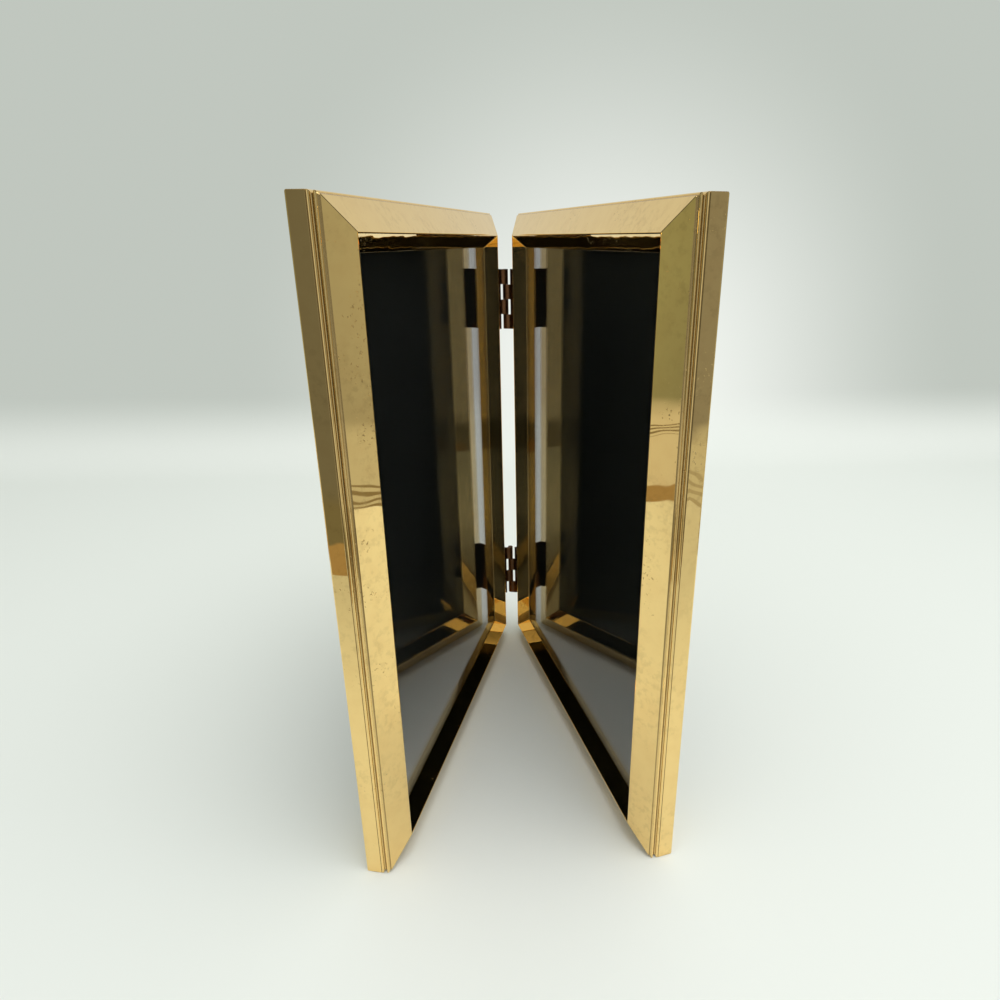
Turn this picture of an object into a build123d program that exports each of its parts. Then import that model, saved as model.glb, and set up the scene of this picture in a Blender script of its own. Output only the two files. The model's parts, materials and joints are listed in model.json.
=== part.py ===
from build123d import *
import math
import os

# A hinged double photo frame: two brass frames that stand like an open book.
# Each frame is four mitred lengths of hollow moulding round glass, card and a back board.
# All sizes are in millimetres. +Z is up, and the viewer stands on the -Y side.

# Print and opening
print_width = 127.0
print_height = 177.8
print_lap = 1.1            # how far the lip covers each edge of the print
print_clearance = 0.6      # from the print's edge to the rebate wall

# Moulding section: inset is measured inwards from the outer wall, depth backwards from the ridge
rail_width = 13.8          # inset of the lip's edge
sheet = 0.8
ridge_inset = 8.9
ridge_radius = 0.35
lip_depth = 4.9            # where the lip's edge meets the glass
slope_foot_inset = 1.0
slope_foot_depth = 4.55
notch_drop = 0.2           # from the slope's foot straight back to the list
list_width = 0.34          # the list is the flat strip between the notch and the bead
list_run = 0.55
bead_width = 0.3
bead_run = 0.65
bead_crown = 0.3
cove_hollow = 0.25
shoulder_radius = 0.7
shoulder_drop = 2.3        # from the slope's foot back to the top of the shoulder
crease_width = 0.3
crease_depth = 0.14
back_corner_radius = 0.6

# Corner keys inside the mitres
key_arm = 24.0
key_thickness = 1.1
key_clearance = 0.3

# Layers behind the lip
layer_clearance = 0.25
glass_thickness = 2.0
insert_thickness = 0.5
filler_thickness = 2.0
board_thickness = 3.0
cover_thickness = 0.5

# Turn buttons on the back
button_thickness = 0.8
button_pivot_inset = 6.2
button_pivot_radius = 3.0
button_tip_radius = 2.0
button_reach = 6.5         # from the pivot to the centre of the tip
button_gap = 0.05          # running gap on each face
button_bore_clearance = 0.05
screw_radius = 1.0
screw_hole_clearance = 0.03
screw_head_radius = 1.8
screw_head_height = 0.7
screw_slot_width = 0.5
screw_slot_depth = 0.35
screw_end_reach = 1.2      # from the back flange to the screw's end inside the moulding

# Hinges
half_opening = 14.2        # degrees that each frame is turned out from the closed book
axis_to_wall = 2.15
ridge_to_axis = 0.15       # half the gap that is left between the ridges of the closed book
hinge_length = 25.4
hinge_inset = 22.5         # from the end of the frame to the hinge
knuckle_count = 4
knuckle_gap = 0.1
leaf_thickness = 0.7
leaf_edge_depth = 1.75     # from the hinge axis back to the leaf's front edge
leaf_back_margin = 0.4
pin_radius = 0.5
fixed_bore_clearance = 0.02
running_bore_clearance = 0.05

overrun = 2.0

# Sizes that follow
frame_width = print_width - 2 * print_lap + 2 * rail_width
frame_height = print_height - 2 * print_lap + 2 * rail_width
rebate_inset = rail_width - print_lap - print_clearance
stack_thickness = glass_thickness + insert_thickness + filler_thickness + board_thickness + cover_thickness
rail_depth = lip_depth + stack_thickness
front_y = ridge_to_axis
back_y = front_y + rail_depth
shoulder_end = slope_foot_depth + shoulder_drop + shoulder_radius
knuckle_pitch = hinge_length / knuckle_count
upper_hinge_z = frame_height - hinge_inset - hinge_length


# Moulding

def moulding_outline():
    """The outside of the moulding, with inset along X and depth along Y."""
    foot = (slope_foot_inset, slope_foot_depth)
    notch = (slope_foot_inset, slope_foot_depth + notch_drop)
    bead_inner = (notch[0] - list_width, notch[1] + list_run)
    bead_outer = (bead_inner[0] - bead_width, bead_inner[1] + bead_run)
    shoulder_top = (shoulder_radius, slope_foot_depth + shoulder_drop)
    shoulder_side = (0, shoulder_end)
    crease_end = (0, shoulder_end + crease_width)
    edges = [
        Polyline((rail_width, lip_depth), (ridge_inset, 0), foot, notch, bead_inner),
        SagittaArc(bead_inner, bead_outer, bead_crown),
        SagittaArc(bead_outer, shoulder_top, -cove_hollow),
        CenterArc((shoulder_radius, shoulder_end), shoulder_radius, 180, 90),
        Polyline(shoulder_side, (crease_depth, shoulder_end + crease_width / 2), crease_end),
        Polyline(
            crease_end,
            (0, rail_depth),
            (rebate_inset, rail_depth),
            (rebate_inset, lip_depth),
            (rail_width, lip_depth),
        ),
    ]
    face = make_face(Curve() + edges)
    face = fillet(face.vertices().sort_by_distance((ridge_inset, 0, 0))[0], ridge_radius)
    return fillet(face.vertices().sort_by_distance((0, rail_depth, 0))[0], back_corner_radius)


def moulding_section():
    """The folded sheet: the outline less the hollow inside it."""
    plain = make_face(
        Polyline(
            (rail_width, lip_depth),
            (ridge_inset, 0),
            (slope_foot_inset, slope_foot_depth),
            (0, shoulder_end + shoulder_radius),
            (0, rail_depth),
            (rebate_inset, rail_depth),
            (rebate_inset, lip_depth),
            close=True,
        )
    )
    return moulding_outline() - offset(plain, amount=-sheet, kind=Kind.INTERSECTION)


def mitred_bar(length):
    """One length of moulding along X, cut at 45 degrees so that it is longest at its outer wall."""
    bar = extrude(Plane.YZ * moulding_section(), amount=length)
    bar = split(bar, bisect_by=Plane(origin=(0, 0, 0), z_dir=(1, -1, 0)), keep=Keep.TOP)
    return split(bar, bisect_by=Plane(origin=(length, 0, 0), z_dir=(-1, -1, 0)), keep=Keep.TOP)


def rail_seat(name):
    """The plane that a rail is laid on: X along it, Y inwards and Z to the back."""
    right = axis_to_wall + frame_width
    seats = {
        "bottom_rail": ((right, front_y, 0), (-1, 0, 0)),
        "top_rail": ((axis_to_wall, front_y, frame_height), (1, 0, 0)),
        "outer_stile": ((right, front_y, frame_height), (0, 0, -1)),
        "inner_stile": ((axis_to_wall, front_y, 0), (0, 0, 1)),
    }
    origin, along = seats[name]
    return Plane(origin=origin, x_dir=along, z_dir=(0, 1, 0))


def rail_length(name):
    return frame_width if name.endswith("rail") else frame_height


def button_seat(name):
    """The turn button's plane, on the middle of a rail's back, with X pointing at the board."""
    plane = rail_seat(name)
    spot = plane.from_local_coords((rail_length(name) / 2, button_pivot_inset, rail_depth))
    return Plane(origin=spot, x_dir=plane.y_dir, z_dir=plane.z_dir)


def rail(name):
    """A rail in its place, with the hole for its turn button's screw."""
    body = rail_seat(name) * mitred_bar(rail_length(name))
    return body - button_seat(name) * Cylinder(screw_radius + screw_hole_clearance, 2 * overrun)


def corner_keys():
    """Four L-shaped plates inside the mitres, lying on the inner face of the back flange."""
    near = sheet + key_clearance
    far = rebate_inset - sheet - key_clearance
    depth = back_y - sheet - key_thickness
    corner = make_face(
        Polyline(
            (near, near),
            (near + key_arm, near),
            (near + key_arm, far),
            (far, far),
            (far, near + key_arm),
            (near, near + key_arm),
            close=True,
        )
    )
    key = extrude(corner, amount=key_thickness)
    right = axis_to_wall + frame_width
    seats = [
        Plane(origin=(axis_to_wall, depth, 0), x_dir=(0, 0, 1), z_dir=(0, 1, 0)),
        Plane(origin=(right, depth, 0), x_dir=(-1, 0, 0), z_dir=(0, 1, 0)),
        Plane(origin=(right, depth, frame_height), x_dir=(0, 0, -1), z_dir=(0, 1, 0)),
        Plane(origin=(axis_to_wall, depth, frame_height), x_dir=(1, 0, 0), z_dir=(0, 1, 0)),
    ]
    return [seat * key for seat in seats]


# Layers behind the lip

def layer(front_depth, thickness, edge_inset):
    """A flat sheet in the rebate, edge_inset in from the frame's outer wall."""
    width = frame_width - 2 * edge_inset
    height = frame_height - 2 * edge_inset
    middle = (
        axis_to_wall + frame_width / 2,
        front_y + front_depth + thickness / 2,
        frame_height / 2,
    )
    return Pos(*middle) * Box(width, thickness, height)


def layers():
    """The stack from the glass back to the covered board, each layer on the one before."""
    full = rebate_inset + layer_clearance
    stack = [
        ("glass", glass_thickness, full),
        ("insert_card", insert_thickness, rebate_inset + print_clearance),
        ("filler_card", filler_thickness, full),
        ("back_board", board_thickness, full),
        ("back_cover", cover_thickness, full),
    ]
    made = {}
    depth = lip_depth
    for name, thickness, inset in stack:
        made[name] = layer(depth, thickness, inset)
        depth += thickness
    return made


# Turn buttons

def turn_button(name):
    """A teardrop of sheet brass with its bore at the pivot and its tip over the board."""
    side = button_reach * button_reach - (button_pivot_radius - button_tip_radius) ** 2
    lean = math.atan2(button_pivot_radius - button_tip_radius, math.sqrt(side))
    rise = (math.sin(lean), math.cos(lean))
    pivot_edge = [button_pivot_radius * part for part in rise]
    tip_edge = [button_reach + button_tip_radius * rise[0], button_tip_radius * rise[1]]
    web = make_face(
        Polyline(
            (pivot_edge[0], pivot_edge[1]),
            (tip_edge[0], tip_edge[1]),
            (tip_edge[0], -tip_edge[1]),
            (pivot_edge[0], -pivot_edge[1]),
            close=True,
        )
    )
    outline = web + Circle(button_pivot_radius) + Pos(button_reach, 0) * Circle(button_tip_radius)
    outline -= Circle(screw_radius + button_bore_clearance)
    seat = button_seat(name)
    return seat * Pos(0, 0, button_gap) * extrude(outline, amount=button_thickness)


def button_screw(name):
    """A slotted screw that the button turns on, driven into the back flange."""
    grip = button_thickness + 2 * button_gap
    inside = sheet + screw_end_reach
    standing = (Align.CENTER, Align.CENTER, Align.MIN)
    head = Pos(0, 0, grip) * Cylinder(screw_head_radius, screw_head_height, align=standing)
    shank = Pos(0, 0, -inside) * Cylinder(screw_radius, inside + grip, align=standing)
    slot = Pos(0, 0, grip + screw_head_height) * Box(
        2 * (screw_head_radius + overrun), screw_slot_width, 2 * screw_slot_depth
    )
    return button_seat(name) * (head + shank - slot)


# Hinges

def leaf_blank(hinge_z):
    """The flat plate of a leaf, soldered to the inner stile's side wall."""
    depth = back_y - leaf_back_margin - leaf_edge_depth
    return Pos(axis_to_wall - leaf_thickness, leaf_edge_depth, hinge_z) * Box(
        leaf_thickness, depth, hinge_length, align=(Align.MIN, Align.MIN, Align.MIN)
    )


def knuckle_section(bore_clearance):
    """A knuckle seen along the pin: a strip that leaves the plate and is curled round the pin."""
    barrel_radius = pin_radius + leaf_thickness
    corner = Vector(axis_to_wall, leaf_edge_depth)
    turn = math.acos(barrel_radius / corner.length)
    bearing = math.atan2(corner.Y, corner.X) - turn
    outward = Vector(math.cos(bearing), math.sin(bearing))
    tangent = outward * barrel_radius
    strip = make_face(
        Polyline(
            (corner.X, corner.Y),
            (tangent.X, tangent.Y),
            ((tangent - outward * leaf_thickness).X, (tangent - outward * leaf_thickness).Y),
            ((corner - outward * leaf_thickness).X, (corner - outward * leaf_thickness).Y),
            close=True,
        )
    )
    return strip + Circle(barrel_radius) - Circle(pin_radius + bore_clearance)


def hinge_leaf(side, hinge_z):
    """A leaf with every second knuckle: the left frame's starts at the top, the right frame's below it."""
    clearance = fixed_bore_clearance if side == "left" else running_bore_clearance
    section = knuckle_section(clearance)
    leaf = leaf_blank(hinge_z)
    for place in range(knuckle_count):
        from_top = knuckle_count - 1 - place
        if (from_top % 2 == 0) == (side == "left"):
            lift = hinge_z + place * knuckle_pitch + knuckle_gap / 2
            leaf += Pos(0, 0, lift) * extrude(section, amount=knuckle_pitch - knuckle_gap)
    return leaf


def hinge_pin(hinge_z):
    """The pin that runs through all the knuckles of one hinge."""
    return Pos(0, 0, hinge_z) * Cylinder(
        pin_radius, hinge_length, align=(Align.CENTER, Align.CENTER, Align.MIN)
    )


# Assembly

def frame_side(side):
    """Every piece of one frame, modelled as the right frame lying open and flat against the XZ plane."""
    rails = ("top_rail", "bottom_rail", "outer_stile", "inner_stile")
    pieces = {name: rail(name) for name in rails}
    pieces["corner_keys"] = corner_keys()
    pieces.update(layers())
    for name in rails:
        pieces["turn_button_" + name.split("_")[0]] = turn_button(name)
    pieces["button_screws"] = [button_screw(name) for name in rails]
    pieces["upper_hinge_leaf"] = hinge_leaf(side, upper_hinge_z)
    pieces["lower_hinge_leaf"] = hinge_leaf(side, hinge_inset)
    return pieces


def stand(side, shape):
    """Turn a piece of one frame about the hinge axis to where it stands."""
    swing = 90 - half_opening
    if side == "left":
        return Rot(0, 0, swing) * mirror(shape, about=Plane.YZ)
    return Rot(0, 0, -swing) * shape


def as_solids(shape):
    """The separate solids of a piece, which may be a list of shapes."""
    shapes = shape if isinstance(shape, list) else [shape]
    return [solid for each in shapes for solid in each.solids()]


def build():
    nodes = {}
    for side in ("left", "right"):
        for name, shape in frame_side(side).items():
            nodes[side + "_" + name] = [stand(side, solid) for solid in as_solids(shape)]
    nodes["upper_hinge_pin"] = as_solids(hinge_pin(upper_hinge_z))
    nodes["lower_hinge_pin"] = as_solids(hinge_pin(hinge_inset))
    return nodes


nodes = build()
box = Compound([solid for solids in nodes.values() for solid in solids]).bounding_box()
to_origin = Pos(-box.center().X, -box.center().Y, -box.min.Z)
print("hinge axis at", round(-box.center().X, 4), round(-box.center().Y, 4))
print("overall size", [round(value, 3) for value in box.size])

os.makedirs("parts", exist_ok=True)
for name, solids in nodes.items():
    moved = [to_origin * solid for solid in solids]
    shape = moved[0] if len(moved) == 1 else Compound(moved)
    export_step(shape, "parts/" + name + ".step")
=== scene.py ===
# %% [markdown]
# # A hinged double photo frame in polished brass
#
# The object is two upright brass frames that stand open like a book. Each one is four mitred
# lengths of hollow moulding round a pane of glass, a black card and a board that eight little
# turn buttons hold in place. This lesson dresses that construction: the moulding, hinges,
# glass, velvet and fastenings are modelled again with bmesh operators where their edges catch
# the light, and every surface gets a finish made of shader nodes.
#
# The construction comes in first, as a fixed frame. Nothing in it is moved, and every new
# piece takes its size and place from it.

# %% Load the frame
import json
import math

import bmesh
import bpy
from mathutils import Matrix, Vector


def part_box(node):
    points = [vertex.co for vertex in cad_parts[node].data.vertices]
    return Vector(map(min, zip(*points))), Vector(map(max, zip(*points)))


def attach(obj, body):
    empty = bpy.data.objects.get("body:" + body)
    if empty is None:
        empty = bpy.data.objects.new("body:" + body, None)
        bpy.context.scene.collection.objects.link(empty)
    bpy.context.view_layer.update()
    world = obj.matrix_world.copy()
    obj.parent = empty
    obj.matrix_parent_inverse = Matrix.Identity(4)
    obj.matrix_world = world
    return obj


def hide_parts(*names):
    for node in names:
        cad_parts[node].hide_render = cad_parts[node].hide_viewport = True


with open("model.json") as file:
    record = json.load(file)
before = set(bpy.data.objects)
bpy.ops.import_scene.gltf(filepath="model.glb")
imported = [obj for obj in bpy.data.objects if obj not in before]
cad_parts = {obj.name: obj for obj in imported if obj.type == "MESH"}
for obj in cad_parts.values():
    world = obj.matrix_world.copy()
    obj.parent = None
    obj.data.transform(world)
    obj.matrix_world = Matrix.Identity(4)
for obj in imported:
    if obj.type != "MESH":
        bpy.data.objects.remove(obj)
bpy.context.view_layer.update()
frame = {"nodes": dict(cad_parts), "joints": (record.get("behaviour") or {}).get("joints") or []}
mm = 0.001

# %% [markdown]
# ## Where each frame stands
#
# A frame is far easier to model while it lies flat: X runs out from the hinge, Y runs back
# from the front and Z is up. One matrix then stands it up, by a turn about the hinge pins.
# The left frame is the mirror image of the right one, so its matrix holds a mirror too. The
# angle and the axis are read from the hinge joint, so they can't drift away from the frame.

# %% Stand a flat frame up
hinge = next(joint for joint in frame["joints"] if joint["name"] == "book_hinge")
hinge_axis = Vector((hinge["pos_m"][0], hinge["pos_m"][1], 0))
half_opening = math.radians(-hinge["range_deg"][0] / 2)
SIDES = ("left", "right")


def stand(side):
    """The matrix that takes a flat frame to where it stands."""
    swing = math.radians(90) - half_opening
    turn = Matrix.Rotation(swing if side == "left" else -swing, 4, "Z")
    flip = Matrix.Diagonal((-1 if side == "left" else 1, 1, 1, 1))
    return Matrix.Translation(hinge_axis) @ turn @ flip


def flat_box(node):
    """The lowest and highest corner of a node while its frame lies flat."""
    back = stand(node.split("_")[0]).inverted()
    points = [back @ vertex.co for vertex in frame["nodes"][node].data.vertices]
    low = Vector([min(point[i] for point in points) for i in range(3)])
    high = Vector([max(point[i] for point in points) for i in range(3)])
    return low, high


rails_low = flat_box("right_inner_stile")[0]
rails_high = flat_box("right_outer_stile")[1]
frame_width = rails_high.x - rails_low.x
frame_height = rails_high.z - rails_low.z
rail_width = flat_box("right_bottom_rail")[1].z
print("opened by", round(math.degrees(2 * half_opening), 1), "degrees; each frame is",
      round(frame_width / mm, 1), "by", round(frame_height / mm, 1), "mm")

# %% [markdown]
# ## Camera
#
# The viewer looks down between the two frames from close by, with a wide lens, so the near
# edges loom and the hinge side shrinks away. The place, the three angles and the focal length
# were solved from the corners of the object, and the lens shift only sets the framing.

# %% Camera
camera_place = Vector((-3.78, -244.02, 192.9)) * mm
camera_yaw = math.radians(3.9)
camera_pitch = math.radians(-20.96)
camera_roll = math.radians(0.07)
picture = 1000
focal_pixels = 688.28
middle_pixel = (545.65, 502.61)

forward = Vector((
    math.sin(camera_yaw) * math.cos(camera_pitch),
    math.cos(camera_yaw) * math.cos(camera_pitch),
    math.sin(camera_pitch),
))
to_right = forward.cross(Vector((0, 0, 1))).normalized()
upwards = to_right.cross(forward)
rolled_right = math.cos(camera_roll) * to_right + math.sin(camera_roll) * upwards
rolled_up = math.cos(camera_roll) * upwards - math.sin(camera_roll) * to_right

camera_data = bpy.data.cameras.new("camera")
camera_data.sensor_width = 36
camera_data.lens = focal_pixels / picture * camera_data.sensor_width
camera_data.shift_x = (picture / 2 - middle_pixel[0]) / picture
camera_data.shift_y = (middle_pixel[1] - picture / 2) / picture
camera_data.clip_start = 5 * mm
camera = bpy.data.objects.new("camera", camera_data)
bpy.context.scene.collection.objects.link(camera)
axes = Matrix((rolled_right, rolled_up, -forward)).transposed().to_4x4()
camera.matrix_world = Matrix.Translation(camera_place) @ axes
bpy.context.scene.camera = camera
bpy.context.scene.view_settings.view_transform = "Standard"
print("lens", round(camera_data.lens, 2), "mm")

# %% [markdown]
# ## Shader arithmetic
#
# A finish is a sum: base colour, plus tarnish in the folds, minus a scratch here and there.
# Written as nodes alone, a sum takes a dozen lines. So a socket is wrapped in a small class
# whose operators add Math nodes, and a mask can be written as `1 - worn * 0.5`. Colours and
# vectors go through Mix and Vector Math, since a Math node would turn them grey.

# %% A socket that does arithmetic
class Wire:
    """A socket's value. Arithmetic on it adds Math nodes."""

    def __init__(self, finish, socket):
        self.finish = finish
        self.socket = socket

    def math(self, operation, *values):
        return self.finish.node("ShaderNodeMath", {"operation": operation}, dict(enumerate(values)))

    def __add__(self, other):
        return self.math("ADD", self, other)

    __radd__ = __add__

    def __mul__(self, other):
        return self.math("MULTIPLY", self, other)

    __rmul__ = __mul__

    def __sub__(self, other):
        return self.math("SUBTRACT", self, other)

    def __rsub__(self, other):
        return self.math("SUBTRACT", other, self)

    def __truediv__(self, other):
        return self.math("DIVIDE", self, other)

    def __pow__(self, other):
        return self.math("POWER", self, other)

    def __abs__(self):
        return self.math("ABSOLUTE", self)

    def waves(self, length):
        return self.math("SINE", self * (math.tau / length))

    def between(self, start, end, to_start=0.0, to_end=1.0):
        """0 up to start and 1 from end on, or the two values given, with a smooth step between."""
        sockets = {"Value": self, "From Min": start, "From Max": end,
                   "To Min": to_start, "To Max": to_end}
        return self.finish.node("ShaderNodeMapRange", {"interpolation_type": "SMOOTHSTEP"}, sockets)


print("socket arithmetic ready")

# %% A finish made of nodes
class Finish:
    """A node tree with one method that makes every kind of node."""

    def __init__(self, tree):
        self.tree = tree
        tree.nodes.clear()

    def node(self, kind, settings=None, sockets=None, output=0):
        made = self.tree.nodes.new(kind)
        for name, value in (settings or {}).items():
            setattr(made, name, value)
        for key, value in (sockets or {}).items():
            if isinstance(value, Wire):
                self.tree.links.new(value.socket, made.inputs[key])
            else:
                made.inputs[key].default_value = value
        return Wire(self, made.outputs[output]) if made.outputs else made

    def mix(self, mask, low, high):
        """The colour low where the mask is 0 and high where it is 1."""
        return self.node("ShaderNodeMix", {"data_type": "RGBA"}, {0: mask, 6: low, 7: high}, 2)

    def place(self, stretch=(1, 1, 1), turned=0.0, moved=(0, 0, 0)):
        """Object coordinates, turned about Z, moved and stretched."""
        spot = self.node("ShaderNodeTexCoord", output="Object")
        sockets = {"Vector": spot, "Location": moved, "Rotation": (0, 0, turned), "Scale": stretch}
        return self.node("ShaderNodeMapping", None, sockets)

    def axis(self, spot, name):
        return self.node("ShaderNodeSeparateXYZ", None, {0: spot}, name)

    def noise(self, spot, size, detail=2.0, roughness=0.5, warp=0.0):
        """Noise from 0 to 1 whose lumps are about size across, in metres."""
        sockets = {"Vector": spot, "Scale": 1 / size, "Detail": detail,
                   "Roughness": roughness, "Distortion": warp}
        return self.node("ShaderNodeTexNoise", None, sockets)

    def ramp(self, value, stops):
        """A colour read off a row of stops, each a place from 0 to 1 and its colour."""
        made = self.tree.nodes.new("ShaderNodeValToRGB")
        first, last = made.color_ramp.elements
        first.position, first.color = stops[0]
        last.position, last.color = stops[-1]
        for place, colour in stops[1:-1]:
            made.color_ramp.elements.new(place).color = colour
        self.tree.links.new(value.socket, made.inputs[0])
        return Wire(self, made.outputs[0])

    def bump(self, height, depth, below=None):
        """Surface relief of that depth in metres, on top of what lies below."""
        sockets = {"Height": height, "Strength": 1.0, "Distance": depth}
        if below:
            sockets["Normal"] = below
        return self.node("ShaderNodeBump", None, sockets)


print("a finish has", [name for name in vars(Finish) if not name.startswith("_")])

# %% Materials and their surface
def new_material(name):
    """A material and its empty finish."""
    made = bpy.data.materials.new(name)
    made.use_nodes = True
    return made, Finish(made.node_tree)


def surface(finish, **values):
    """The finish's one surface shader, with each value or wire on its own socket."""
    named = {key.replace("_", " "): value for key, value in values.items()}
    shader = finish.node("ShaderNodeBsdfPrincipled", None, named)
    finish.node("ShaderNodeOutputMaterial", None, {"Surface": shader})


print("shader tools ready")

# %% [markdown]
# ## Floor, backdrop and light
#
# Polished brass has hardly any colour of its own: it shows what stands round it. A room that
# is white all over would make it look flat, so the studio is built the way a photographer of
# metal builds one. A pale sheet lies under the object and sweeps up behind it, and past the
# sheet's front and side edges the room is darker. The brass mirrors those edges, as the lines
# where bright gold turns to olive or brown. The camera sees a plain pale floor everywhere.

# %% Outlines drawn with a pen
class Pen:
    """Draws an outline in the plane x = 0, with straight runs and arcs. Points are (y, z)."""

    def __init__(self, bm, start):
        self.bm = bm
        self.tip = bm.verts.new((0, *start))
        self.drawn = [self.tip]

    def line(self, *points):
        for point in points:
            vert = self.bm.verts.new((0, *point))
            self.bm.edges.new((self.tip, vert))
            self.tip = vert
            self.drawn.append(vert)

    def arc(self, centre, degrees, steps):
        spun = bmesh.ops.spin(self.bm, geom=[self.tip], cent=(0, *centre), axis=(1, 0, 0),
                              angle=math.radians(degrees), steps=steps)
        self.tip = next(part for part in spun["geom_last"] if isinstance(part, bmesh.types.BMVert))

    def bow(self, end, rise, steps):
        """An arc to end that bulges by rise to the left of the way there."""
        start = Vector(self.tip.co.yz)
        chord = Vector(end) - start
        left = Vector((-chord.y, chord.x)).normalized()
        radius = (chord.length_squared / 4 + rise * rise) / (2 * rise)
        centre = start + chord / 2 - left * (radius - rise)
        self.arc(centre, -4 * math.degrees(math.atan(2 * rise / chord.length)), steps)

    def close(self):
        self.bm.edges.new((self.tip, self.drawn[0]))


print("the pen can", [name for name in vars(Pen) if not name.startswith("_")])

# %% From an outline to an object
def draw_along(bm, edges, reach):
    """Draws edges out along X, and gives the faces that this makes."""
    drawn = bmesh.ops.extrude_edge_only(bm, edges=edges)["geom"]
    far = [part for part in drawn if isinstance(part, bmesh.types.BMVert)]
    bmesh.ops.translate(bm, verts=far, vec=(reach, 0, 0))
    return [part for part in drawn if isinstance(part, bmesh.types.BMFace)]


def to_object(bm, name, material, smooth_below=30):
    """The finished mesh as an object at the origin, smooth except along its sharp edges."""
    for face in bm.faces:
        face.smooth = True
    for edge in bm.edges:
        if len(edge.link_faces) == 2:
            edge.smooth = edge.calc_face_angle() < math.radians(smooth_below)
    mesh = bpy.data.meshes.new(name)
    bm.to_mesh(mesh)
    bm.free()
    mesh.materials.append(material)
    made = bpy.data.objects.new(name, mesh)
    bpy.context.scene.collection.objects.link(made)
    return made


def open_edges(bm):
    """How many edges don't join exactly two faces: none on a closed piece."""
    return sum(not edge.is_manifold for edge in bm.edges)


def whole(bm):
    """Every vertex, edge and face, as a cut wants them."""
    return list(bm.verts) + list(bm.edges) + list(bm.faces)


print("outline tools ready")

# %% The sweep of pale sheet
sweep_reach = 3000 * mm
backdrop_y = 450 * mm
cove_radius = 120 * mm
backdrop_height = 2000 * mm

bm = bmesh.new()
pen = Pen(bm, (-sweep_reach, 0))
pen.line((backdrop_y - cove_radius, 0))
pen.arc((backdrop_y - cove_radius, cove_radius), 90, 24)
pen.line((backdrop_y, backdrop_height))
bmesh.ops.translate(bm, verts=bm.verts, vec=(-sweep_reach, 0, 0))
draw_along(bm, list(bm.edges), 2 * sweep_reach)
sheet_material, sheet_finish = new_material("pale_sheet")
sweep = to_object(bm, "floor_sweep", sheet_material)
print("sweep behind the object at", backdrop_y / mm, "mm")

# %% [markdown]
# The room is told by direction: two rows of colours go round the object like the numbers on a
# clock. One row is the room far off, with a bright window to the front, and the other is the
# floor that lies just past the sheet. A picture of a room would do the same job, but a few
# named colours are easier to read and to change.

# %% The room as the brass sees it
behind = (0.60, 0.62, 0.58, 1)
olive_wall = (0.32, 0.34, 0.23, 1)
dark_wall = (0.17, 0.17, 0.155, 1)
window = (0.75, 0.74, 0.70, 1)
grey_wall = (0.28, 0.28, 0.27, 1)
side_wall = (0.43, 0.43, 0.37, 1)
pale_floor = (0.67, 0.65, 0.58, 1)
dark_floor = (0.18, 0.17, 0.12, 1)
plain_floor = (0.58, 0.58, 0.52, 1)
FAR = ((-180, behind), (-78, olive_wall), (-55, dark_wall), (-15, dark_wall), (-11, window),
       (11, window), (15, grey_wall), (48, grey_wall), (80, side_wall), (180, behind))
NEAR = ((-180, pale_floor), (-64, pale_floor), (-50, dark_floor), (-15, dark_floor),
        (42, plain_floor), (80, plain_floor), (180, pale_floor))


def room_round(finish, across, back, stops):
    """The room's colour by the way one looks: 0 degrees is to the front and 90 to the right."""
    angle = across.math("ARCTAN2", across, back * -1)
    placed = [(degrees / 360 + 0.5, colour) for degrees, colour in stops]
    return finish.ramp(angle / math.tau + 0.5, placed)


print("the room has", len(FAR), "stops far off and", len(NEAR), "near the sheet")

# %% [markdown]
# The sheet's finish sorts the rays. Matt pieces are lit by plain pale paper, and the camera
# sees it a little greyer. Glossy rays see it grow dimmer towards the front, a painted shade,
# then its edge, and the floor beyond, which fades into the far room. A few dark lines run along
# that edge on the right, and on the left a brown band of painted shadow runs along it and the
# lines lie further out, so that the polished faces have something crisp to mirror.

# %% Where the sheet ends
sheet_half_width = 288 * mm
sheet_front = 269 * mm
sheet_front_slant = -0.16
line_pitch = 16 * mm
right_lines_end = 54 * mm
left_lines_start = 198 * mm
left_lines_end = 248 * mm
band_width = 42 * mm
edge_blur = 2 * mm
lines_near_y = -150 * mm
lines_far_y = -230 * mm
lines_far_strength = 0.45


def after(value, place):
    """0 before a place and 1 after it, with a narrow blur."""
    return value.between(place - edge_blur, place + edge_blur)


def lines_past_edge(outside, back, on_left):
    """Where the dark lines lie: close to the edge on the right, and further out on the left."""
    right = (1 - after(outside, right_lines_end)) * (1 - on_left)
    right = right * back.between(lines_far_y, lines_near_y, lines_far_strength, 1)
    left = after(outside, left_lines_start) * (1 - after(outside, left_lines_end)) * on_left
    return outside.waves(line_pitch).between(-0.2, 0.4) * (right + left)


print("sheet", 2 * round(sheet_half_width / mm), "mm wide, to", sheet_front / mm, "mm in front")

# %% The sheet's finish
sheet_colour = (0.92, 0.93, 0.90, 1)
sheet_seen = (0.77, 0.80, 0.765, 1)
sheet_mirrored = (0.80, 0.81, 0.78, 1)
# Painted shade: the mirrored sheet turns to this colour towards its front.
sheet_front_shade = (0.57, 0.58, 0.56, 1)
wall_middle = (0.93, 0.96, 0.91, 1)
wall_side = (0.53, 0.57, 0.52, 1)
wall_mirrored = (0.72, 0.72, 0.69, 1)
wall_dark = (0.16, 0.165, 0.16, 1)
edge_line = (0.26, 0.22, 0.145, 1)
# Painted shadow: a brown band along the sheet's left edge.
edge_shadow_band = (0.38, 0.28, 0.15, 1)
far_start = 185 * mm
far_end = 300 * mm
left_delay = 0.15
left_blur = 20 * mm
dark_wall_start = 380 * mm
dark_wall_end = 600 * mm
glow_across = 110 * mm
glow_height = 60 * mm
glow_reach = 370 * mm


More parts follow.
